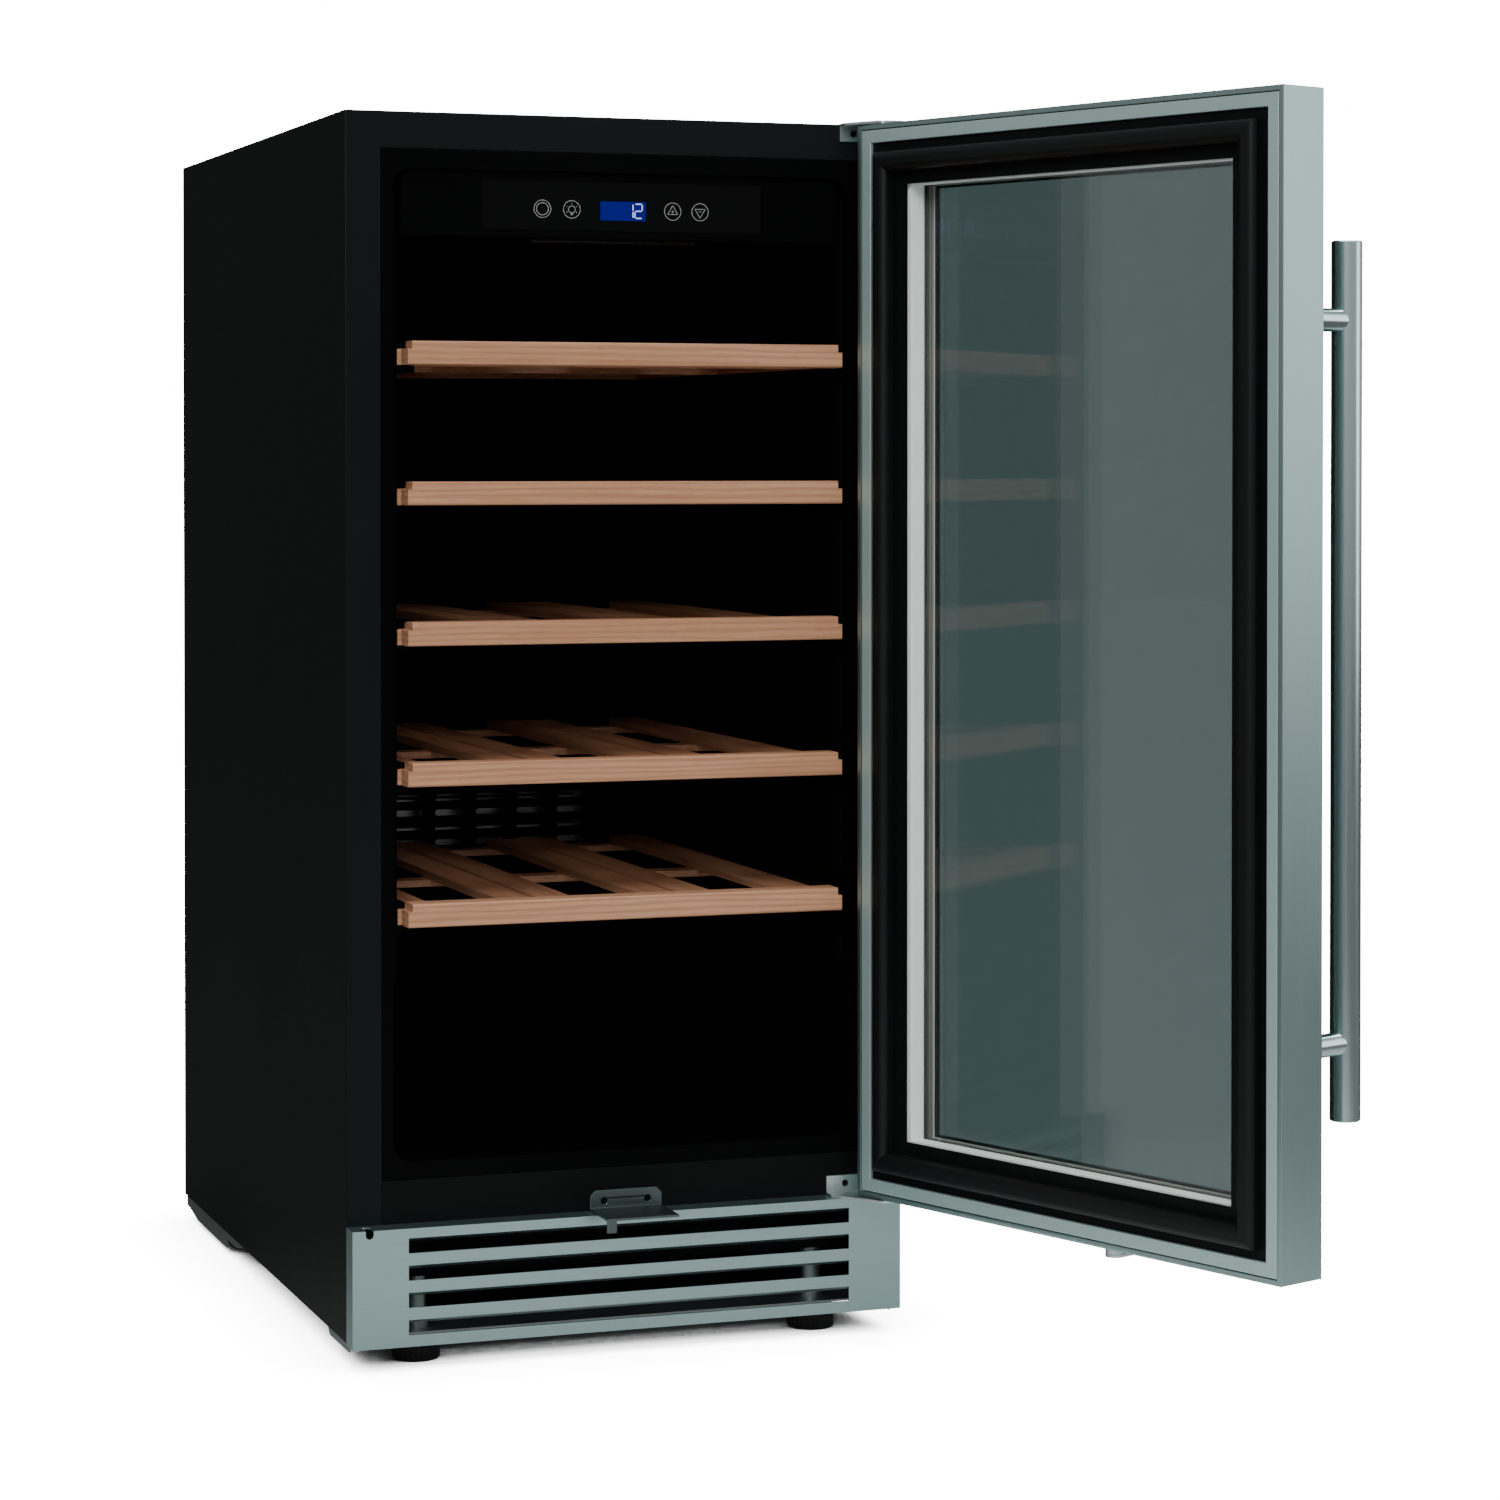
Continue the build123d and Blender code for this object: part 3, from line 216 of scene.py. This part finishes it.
COATED_IOR = 1.22           # the low-emission coating mirrors less than bare glass
SMEAR_ROUGHNESS = 0.012


def glass(name, tint):
    """Flat glass with a trace of smear, which lets the lamps' light through to what is behind."""
    shader = Shader(name, tint, 0.0, IOR=COATED_IOR)
    shader.set("Transmission Weight", 1.0)
    smear = shader.noise(shader.coordinates, 14.0, 3.0)
    shader.link(shader.spread(smear, 0.0, SMEAR_ROUGHNESS), "Roughness")
    clear = shader.node("ShaderNodeBsdfTransparent", Color=(*tint, 1.0))
    ray = shader.node("ShaderNodeLightPath")
    blend = shader.node("ShaderNodeMixShader", Fac=ray.outputs["Is Shadow Ray"])
    shader.tree.links.new(shader.bsdf.outputs[0], blend.inputs[1])
    shader.tree.links.new(clear.outputs[0], blend.inputs[2])
    shader.tree.links.new(blend.outputs[0], shader.tree.nodes["Material Output"].inputs["Surface"])
    return shader.material


def edge_seal(name):
    """The glass unit's edge: pale spacer near the inside, brown butyl lines near the outer pane."""
    shader = Shader(name, (0.5, 0.52, 0.5), 0.45)
    shader.set("Specular IOR Level", 0.3)
    turned = shader.node("ShaderNodeMapping", Vector=shader.coordinates)
    turned.inputs["Rotation"].default_value = CLOSED_AXES.to_euler()
    turned.inputs["Location"].default_value = CLOSED_AXES.to_translation()
    depth = shader.node("ShaderNodeSeparateXYZ", Vector=turned.outputs["Vector"]).outputs["Y"]
    low, high = closed_box("glass_spacers")
    place = shader.spread(depth, 0.0, 1.0, low.y, high.y)
    cream, brown, dark = (0.90, 0.88, 0.82), (0.24, 0.205, 0.185), (0.07, 0.06, 0.055)
    pale, palest = (0.80, 0.85, 0.82), (0.90, 0.93, 0.91)
    stops = ((0.0, cream), (0.045, brown), (0.10, brown), (0.13, dark), (0.19, brown), (0.24, dark),
             (0.30, dark), (0.46, brown), (0.52, pale), (1.0, palest))
    colour = shader.ramp(place, stops)
    speckle = shader.noise(shader.coordinates, 700.0, 3.0)
    shader.link(shader.mix(shader.spread(speckle, 0.0, 0.12), colour, (0.3, 0.3, 0.29, 1.0)),
                "Base Color")
    shader.bump(speckle, 0.00002, 0.5)
    return shader.material


STEEL = (0.38, 0.52, 0.52)
MATERIALS = {
    "shell": grained("shell_black_paint", (0.0068, 0.0096, 0.0100), 0.42, 900.0, 0.00003),
    "black_metal": grained("black_powder_paint", (0.0040, 0.0050, 0.0050), 0.45, 1200.0, 0.00004),
    "liner": grained("liner_black_plastic", (0.0018, 0.0022, 0.0020), 0.40, 1500.0, 0.00002,
                     gloss=0.03),
    "textured": grained("door_black_textured", (0.0040, 0.0048, 0.0048), 0.50, 1400.0, 0.00016,
                        gloss=0.12),
    "gloss_black": grained("touch_gloss_black", (0.0012, 0.0014, 0.0014), 0.10, 300.0, 0.000002,
                           gloss=0.12),
    "rubber": grained("rubber_black", (0.0052, 0.0062, 0.0066), 0.40, 1600.0, 0.00002, gloss=0.25),
    "foot": grained("foot_black_plastic", (0.006, 0.006, 0.007), 0.45, 900.0, 0.00005, gloss=0.2),
    "lamp": grained("lamp_smoked_cover", (0.006, 0.007, 0.007), 0.25, 600.0, 0.00002, gloss=0.2),
    "circuit": grained("circuit_board", (0.012, 0.075, 0.03), 0.45, 800.0, 0.00004, gloss=0.4),
    "foam": grained("foam_cream", (0.66, 0.56, 0.33), 0.85, 260.0, 0.0006),
    "dark_steel": brushed("lock_bracket_steel", (0.125, 0.160, 0.160), 0.42, (12, 1500, 1500)),
    "door_steel": brushed("door_steel", STEEL, 0.34, (1800, 1800, 9), OPEN_ANGLE),
    "inner_steel": brushed("door_inner_band", (0.48, 0.66, 0.65), 0.40, (300, 300, 300),
                           metallic=0.55, streak=0.015, relief=0.000002),
    "grille_steel": brushed("grille_steel", (0.40, 0.555, 0.56), 0.34, (9, 2200, 2200)),
    "handle_steel": brushed("handle_steel", (0.65, 0.79, 0.79), 0.20, (1500, 1500, 7)),
    "zinc": brushed("zinc_sheet", (0.34, 0.40, 0.39), 0.42, (120, 120, 120), relief=0.00003),
    "bright": brushed("bright_plating", (0.66, 0.74, 0.73), 0.30, (300, 300, 300)),
    "spacer": edge_seal("glass_edge_seal"),
    "aluminium": brushed("aluminium_plain", (0.62, 0.64, 0.65), 0.34, (200, 200, 200)),
    "copper": brushed("copper_pipe", (0.70, 0.34, 0.20), 0.28, (160, 160, 160)),
    "clear_glass": glass("glass_clear", (0.92, 0.96, 0.95)),
    "tinted_glass": glass("glass_tinted", (0.062, 0.088, 0.090)),
}

FINISHES = {
    "shell": ("outer_shell", "back_panel"),
    "black_metal": ("front_rail", "compressor"),
    "dark_steel": ("lock_bracket",),
    "liner": ("inner_liner", "shelf_racks", "control_panel", "duct_cover", "power_board_box",
              "evaporator_fan_frame", "evaporator_fan_rotor", "condenser_fan_frame",
              "condenser_fan_rotor", "drain_tray", "mains_inlet", "hinge_bushes", "door_core"),
    "textured": ("door_liner",),
    "gloss_black": ("touch_window",),
    "rubber": ("door_gasket", "compressor_mounts"),
    "foot": ("foot_front_left", "foot_front_right", "foot_rear_left", "foot_rear_right"),
    "lamp": ("lamp_cover",),
    "circuit": ("control_board",),
    "foam": ("foam_insulation",),
    "door_steel": ("door_frame",),
    "inner_steel": ("door_inner_frame",),
    "grille_steel": ("toe_grille",),
    "handle_steel": ("handle_bar", "handle_posts"),
    "zinc": ("base_pan", "base_rails", "bottom_plate", "machine_cover", "handle_screws"),
    "bright": ("hinge_brackets", "hinge_pins", "lock_barrel", "lock_cam"),
    "spacer": ("glass_spacers",),
    "aluminium": ("condenser", "evaporator"),
    "copper": ("refrigerant_pipes",),
    "clear_glass": ("glass_inner_panes",),
    "tinted_glass": ("glass_outer_pane",),
}


def paint(obj, material):
    """Give every face of an object one material."""
    if not obj.data.materials:
        obj.data.materials.append(material)
    for index in range(len(obj.data.materials)):
        obj.data.materials[index] = material


for finish, members in FINISHES.items():
    for member in members:
        paint(NODES[member], MATERIALS[finish])

SHELF_COUNT = 5
for index in range(1, SHELF_COUNT + 1):
    paint(NODES[f"shelf_{index}_front"], beech(f"beech_front_{index}", "X", index))
    paint(NODES[f"shelf_{index}_slats"], beech(f"beech_slats_{index}", "Y", index + 7))


WELD_DISTANCE = 0.000005
BEVEL_SEGMENTS = 2
BEVEL_ANGLE = math.radians(35)      # flatter edges stay as they are


def soften(obj, width):
    """Rounded edges, so that they catch the light."""
    weld = obj.modifiers.new("weld", "WELD")
    weld.merge_threshold = WELD_DISTANCE
    bevel = obj.modifiers.new("bevel", "BEVEL")
    bevel.width = width
    bevel.segments = BEVEL_SEGMENTS
    bevel.limit_method = "ANGLE"
    bevel.angle_limit = BEVEL_ANGLE
    bevel.harden_normals = False


for member, width in (("door_frame", 0.00035), ("toe_grille", 0.0003), ("outer_shell", 0.0003),
                      ("control_panel", 0.0005), ("hinge_brackets", 0.0004),
                      ("lock_bracket", 0.0004), ("lamp_cover", 0.0003)):
    soften(NODES[member], width)
for index in range(1, SHELF_COUNT + 1):
    soften(NODES[f"shelf_{index}_front"], 0.0006)

# ---- control strip: printed symbols and display --------------------------------------
def new_mesh(name, build, material, body):
    """A mesh piece made by a bmesh function, riding on a body."""
    mesh = bpy.data.meshes.new(name)
    grid = bmesh.new()
    build(grid)
    bmesh.ops.recalc_face_normals(grid, faces=grid.faces)
    grid.to_mesh(mesh)
    grid.free()
    obj = bpy.data.objects.new(name, mesh)
    bpy.context.scene.collection.objects.link(obj)
    mesh.materials.append(material)
    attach(obj, body)
    return obj


PRINT_DEPTH = 0.00008
WINDOW_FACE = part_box("touch_window")[0].y


def stroke(grid, points, width, y, closed=False):
    """A flat printed line through points (x, z), standing a hair in front of the window."""
    count = len(points)
    sides = []
    for i in range(count):
        before = points[i - 1] if closed or i else points[i]
        after = points[(i + 1) % count] if closed or i < count - 1 else points[i]
        direction = Vector((after[0] - before[0], after[1] - before[1])).normalized()
        normal = Vector((-direction.y, direction.x)) * width / 2
        centre = Vector(points[i])
        sides.append((centre + normal, centre - normal))
    front = [[grid.verts.new((p.x, y - PRINT_DEPTH, p.y)) for p in pair] for pair in sides]
    back = [[grid.verts.new((p.x, y, p.y)) for p in pair] for pair in sides]
    for i in range(count if closed else count - 1):
        j = (i + 1) % count
        grid.faces.new((front[i][0], front[j][0], front[j][1], front[i][1]))
        grid.faces.new((back[i][0], back[i][1], back[j][1], back[j][0]))
        grid.faces.new((front[i][0], back[i][0], back[j][0], front[j][0]))
        grid.faces.new((front[i][1], front[j][1], back[j][1], back[i][1]))
    if not closed:
        for i in (0, count - 1):
            grid.faces.new((front[i][0], front[i][1], back[i][1], back[i][0]))


KEY_Z = 0.7865
KEY_R = 0.0060
POWER_X, LAMP_X, UP_X, DOWN_X = -0.058, -0.037, 0.036, 0.056
LINE = 0.00034
CIRCLE_STEPS = 48


def ring(grid, x, radius, width=LINE):
    """A printed circle round a key's middle."""
    turns = [math.radians(360.0 * i / CIRCLE_STEPS) for i in range(CIRCLE_STEPS)]
    points = [(x + radius * math.cos(turn), KEY_Z + radius * math.sin(turn)) for turn in turns]
    stroke(grid, points, width, WINDOW_FACE, True)


def key_power(grid):
    ring(grid, POWER_X, KEY_R)
    ring(grid, POWER_X, 0.0042, LINE * 1.2)


def key_lamp(grid):
    ring(grid, LAMP_X, KEY_R)
    ring(grid, LAMP_X, 0.0024)
    inner, outer = 0.0034, 0.0043
    for turn in range(0, 360, 60):
        a = math.radians(turn + 30)
        stroke(grid, [(LAMP_X + r * math.cos(a), KEY_Z + r * math.sin(a)) for r in (inner, outer)],
               LINE, WINDOW_FACE)
    base_half, base_z = 0.0011, KEY_Z - 0.0031
    stroke(grid, [(LAMP_X - base_half, base_z), (LAMP_X + base_half, base_z)], LINE * 1.6,
           WINDOW_FACE)


def key_arrow(grid, x, up):
    ring(grid, x, KEY_R)
    flip = 1 if up else -1
    triangle = ((-0.0037, -0.0020), (0.0037, -0.0020), (0, 0.0042))
    corners = [(x + dx, KEY_Z + flip * dz) for dx, dz in triangle]
    for first, second in zip(corners, corners[1:] + corners[:1]):
        stroke(grid, [first, second], LINE, WINDOW_FACE)
    sign_half, middle = 0.0010, KEY_Z - flip * 0.0003
    stroke(grid, [(x - sign_half, middle), (x + sign_half, middle)], LINE, WINDOW_FACE)
    if up:
        stroke(grid, [(x, middle - sign_half), (x, middle + sign_half)], LINE, WINDOW_FACE)


def printed_ink():
    shader = Shader("printed_white", (0.42, 0.46, 0.45), 0.5)
    wear = shader.noise(shader.coordinates, 2500.0, 3.0)
    shader.link(shader.ramp(wear, ((0.3, (0.34, 0.38, 0.37)), (0.7, (0.46, 0.50, 0.49)))),
                "Base Color")
    return shader.material


INK = printed_ink()
new_mesh("key_power_mark", key_power, INK, "cabinet")
new_mesh("key_lamp_mark", key_lamp, INK, "cabinet")
new_mesh("key_up_mark", lambda g: key_arrow(g, UP_X, True), INK, "cabinet")
new_mesh("key_down_mark", lambda g: key_arrow(g, DOWN_X, False), INK, "cabinet")


def lit(name, colour, strength, deep):
    """A lit display surface with faint rows, as liquid-crystal displays have."""
    shader = Shader(name, deep, 0.3)
    shader.set("Specular IOR Level", 0.1)
    rows = shader.noise(shader.place((400, 400, 2600)), 1.0, 2.0)
    shader.link(shader.ramp(rows, ((0.2, tuple(c * 0.85 for c in colour)), (0.8, colour))),
                "Emission Color")
    shader.set("Emission Strength", strength)
    return shader.material


paint(NODES["display"], lit("display_blue", (0.0, 0.0, 0.18), 1.0, (0.001, 0.001, 0.04)))
DISPLAY_LOW, DISPLAY_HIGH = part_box("display")
SEGMENTS = {"1": "bc", "2": "abged"}
DIGIT_W, DIGIT_H = 0.0052, 0.0098
DIGIT_LEFT, DIGIT_SPACE = 0.0020, 0.0014
SEGMENT_LINE, SEGMENT_GAP = 0.00085, 0.00045


def digits(grid, text="12"):
    """Seven-segment digits on the display's right half."""
    base = (DISPLAY_LOW.z + DISPLAY_HIGH.z) / 2 - DIGIT_H / 2 + 0.0002
    for n, digit in enumerate(text):
        x0 = DIGIT_LEFT + n * (DIGIT_W + DIGIT_SPACE)
        x1, z0, zm, z1 = x0 + DIGIT_W, base, base + DIGIT_H / 2, base + DIGIT_H
        lines = {"a": ((x0, z1), (x1, z1)), "b": ((x1, z1), (x1, zm)), "c": ((x1, zm), (x1, z0)),
                 "d": ((x0, z0), (x1, z0)), "e": ((x0, zm), (x0, z0)), "g": ((x0, zm), (x1, zm))}
        for letter in SEGMENTS[digit]:
            a, b = (Vector(p) for p in lines[letter])
            along = (b - a).normalized() * SEGMENT_GAP
            stroke(grid, [tuple(a + along), tuple(b - along)], SEGMENT_LINE, DISPLAY_LOW.y)


new_mesh("display_digits", digits, lit("display_digit", (0.50, 0.62, 0.95), 1.0, (0.3, 0.35, 0.5)),
         "cabinet")

# ---- studio -------------------------------------------------------------------------
def area(name, place, target, size, power):
    data = bpy.data.lights.new(name, "AREA")
    data.shape = "RECTANGLE"
    data.size, data.size_y = size
    data.energy = power
    obj = bpy.data.objects.new(name, data)
    obj.location = place
    obj.rotation_euler = (Vector(target) - Vector(place)).to_track_quat("-Z", "Y").to_euler()
    bpy.context.scene.collection.objects.link(obj)


WHITE_GLOW = 16.0           # what the camera sees as pure white
THROUGH_LIGHT = 1.0         # the same background, seen through the glass
BEHIND_LIGHT = 0.06         # what the dark room behind the object gives to it
ROOM_LIGHT = 0.42           # what its bright front and sides give
PAINTED_POOL_MIDDLE = (0.1, -0.85, 0.0)    # middle of the pool of light painted into the floor's colour, in front of the object
CONTACT_REACH = 0.10        # how far the painted soft shadow spreads round whatever stands on the floor
SIDE_SHARE = 0.5            # how much the room's sides count as front
DARK_UP_TO, BRIGHT_FROM = -0.7, 0.35    # where the room turns from dark to bright


def glow_by_ray(tree, camera, through, rest):
    """Strength that differs between what the camera sees, directly or through glass, and the rest."""
    def pick(factor, low, high):
        node = tree.nodes.new("ShaderNodeMapRange")
        for socket, value in (("Value", factor), ("To Min", low), ("To Max", high)):
            feed(tree, value, node.inputs[socket])
        return node.outputs["Result"]

    ray = tree.nodes.new("ShaderNodeLightPath")
    unseen = pick(ray.outputs["Is Transmission Ray"], rest, through)
    return pick(ray.outputs["Is Camera Ray"], unseen, camera)


def floor_material():
    """Studio paper that glows, so that it stays white in the picture, with a painted contact shadow
    and a painted pool of light.
    """
    shader = Shader("floor_paper", (0.80, 0.80, 0.80), 0.9)
    from_front = shader.node("ShaderNodeVectorMath")
    from_front.operation = "DISTANCE"
    for value, socket in zip((shader.coordinates, PAINTED_POOL_MIDDLE), from_front.inputs):
        feed(shader.tree, value, socket)
    # painted light: the paper's colour is pale round a point in front of the object and dark further
    # off, a painted pool of light in a room that is dark behind
    shader.link(shader.ramp(shader.spread(from_front.outputs["Value"], 0.0, 1.0, 0.35, 1.1),
                            ((0.0, (0.85, 0.85, 0.85)), (1.0, (0.12, 0.12, 0.12)))), "Base Color")
    # painted shadow: an ambient-occlusion node dims the paper's glow near whatever stands on it
    nearby = shader.node("ShaderNodeAmbientOcclusion", Distance=CONTACT_REACH)
    painted_shade_factor = shader.spread(nearby.outputs["AO"], 0.0, 1.0, 0.15, 0.85)
    glow = glow_by_ray(shader.tree, WHITE_GLOW, THROUGH_LIGHT, 0.0)
    shader.link(calculate(shader.tree, "MULTIPLY", glow, painted_shade_factor), "Emission Strength")
    shader.set("Emission Color", (1.0, 1.0, 1.0, 1.0))
    return shader.material


FLOOR_HALF = 12.0
FLOOR_CORNERS = [(x * FLOOR_HALF, y * FLOOR_HALF, 0.0)
                 for x, y in ((-1, -1), (1, -1), (1, 1), (-1, 1))]

floor_mesh = bpy.data.meshes.new("floor")
floor_mesh.from_pydata(FLOOR_CORNERS, [], [(0, 1, 2, 3)])
floor = bpy.data.objects.new("floor", floor_mesh)
bpy.context.scene.collection.objects.link(floor)
floor_mesh.materials.append(floor_material())


def studio_world():
    """White behind the object for the camera, and for the object a room that is dark behind it."""
    world = bpy.data.worlds.new("studio")
    bpy.context.scene.world = world
    world.use_nodes = True
    tree = world.node_tree
    backdrop = tree.nodes["Background"]
    backdrop.inputs["Color"].default_value = (1.0, 1.0, 1.0, 1.0)
    split = tree.nodes.new("ShaderNodeSeparateXYZ")
    feed(tree, tree.nodes.new("ShaderNodeTexCoord").outputs["Generated"], split.inputs[0])
    sideways = calculate(tree, "ABSOLUTE", split.outputs["X"])
    forward = calculate(tree, "MULTIPLY", split.outputs["Y"], -1.0)
    frontal = calculate(tree, "MULTIPLY_ADD", sideways, SIDE_SHARE, forward)
    room = tree.nodes.new("ShaderNodeMapRange")
    room.interpolation_type = "SMOOTHSTEP"
    for socket, value in (("Value", frontal), ("From Min", DARK_UP_TO), ("From Max", BRIGHT_FROM),
                          ("To Min", BEHIND_LIGHT), ("To Max", ROOM_LIGHT)):
        feed(tree, value, room.inputs[socket])
    strength = glow_by_ray(tree, WHITE_GLOW, THROUGH_LIGHT, room.outputs["Result"])
    feed(tree, strength, backdrop.inputs["Strength"])


studio_world()

AIM = (0.05, -0.35, 0.45)   # what the lamps point at
area("key_light", (-1.2, -3.2, 2.4), AIM, (1.4, 1.4), 70)
area("top_light", (0.3, -0.6, 3.2), AIM, (2.2, 2.2), 40)
area("right_fill", (3.0, -1.8, 1.4), AIM, (1.6, 2.2), 16)

CAMERA_PLACE = (-0.8018, -2.8057, 0.6163)
CAMERA_DOWN, CAMERA_RIGHT = 0.812, 19.477       # degrees below the level, and to the right
SENSOR_MM, LENS_MM, LENS_SHIFT = 36.0, 92.11, -0.159
CLIP_NEAR, CLIP_FAR = 0.05, 60.0

camera_data = bpy.data.cameras.new("camera")
camera_data.sensor_width = SENSOR_MM
camera_data.lens = LENS_MM
camera_data.shift_y = LENS_SHIFT
camera = bpy.data.objects.new("camera", camera_data)
camera.location = CAMERA_PLACE
camera.rotation_euler = (math.radians(90 - CAMERA_DOWN), 0.0, math.radians(-CAMERA_RIGHT))
camera_data.clip_start, camera_data.clip_end = CLIP_NEAR, CLIP_FAR
bpy.context.scene.collection.objects.link(camera)
bpy.context.scene.camera = camera
